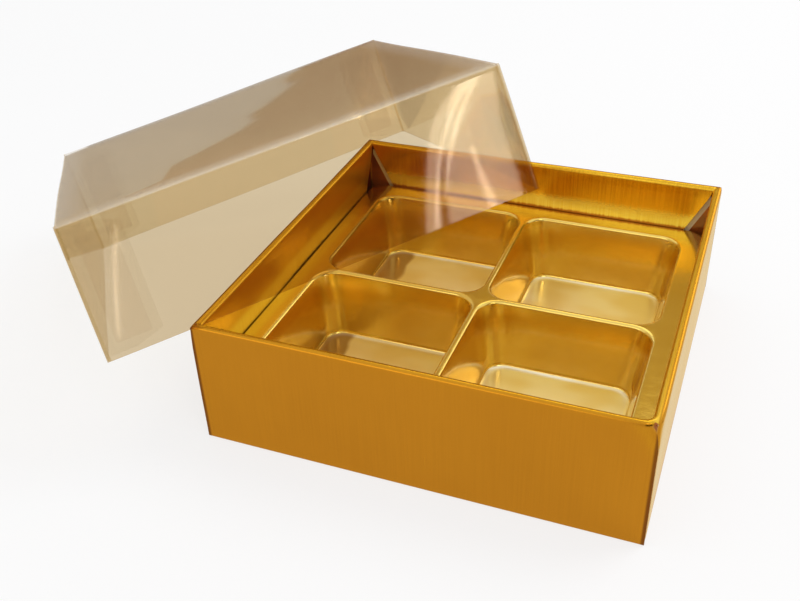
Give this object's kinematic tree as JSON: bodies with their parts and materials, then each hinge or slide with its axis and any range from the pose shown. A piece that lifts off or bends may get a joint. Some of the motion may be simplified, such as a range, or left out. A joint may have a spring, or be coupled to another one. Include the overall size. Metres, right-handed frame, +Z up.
{
  "type": "chocolate box",
  "caption": "Small square gift box for chocolates: a folded gold carton, a formed gold tray with cups inside, and a clear folded lid leaning on it.",
  "frame": {"origin": "centre of the carton's underside, on the table", "axes": "+Z up out of the open carton; +X to the carton's right and +Y to its back, as seen in the picture, where the lid leans on the left and back rims"},
  "size_m": [0.1666, 0.1313, 0.0684],
  "materials": {
    "gold_board": "satin gold foil laminated on board",
    "board_glue": "dried white glue",
    "gold_sheet": "gloss, metallised gold formed sheet",
    "clear_sheet": "gloss, clear",
    "clear_glue": "clear glue"
  },
  "bodies": {
    "base": {"base_carton": "gold_board", "carton_corner_glue": "board_glue"},
    "insert": {"insert_tray": "gold_sheet"},
    "lid": {"lid": "clear_sheet", "lid_corner_glue": "clear_glue"}
  },
  "joints": [
    {"name": "insert_lift", "type": "slide", "parent": "base", "child": "insert", "axis": [0, 0, 1], "range_m": [0, 0.05]},
    {"name": "lid_lift", "type": "slide", "parent": "insert", "child": "lid", "axis": [0, 0, 1], "range_m": [0, 0.1]}
  ]
}
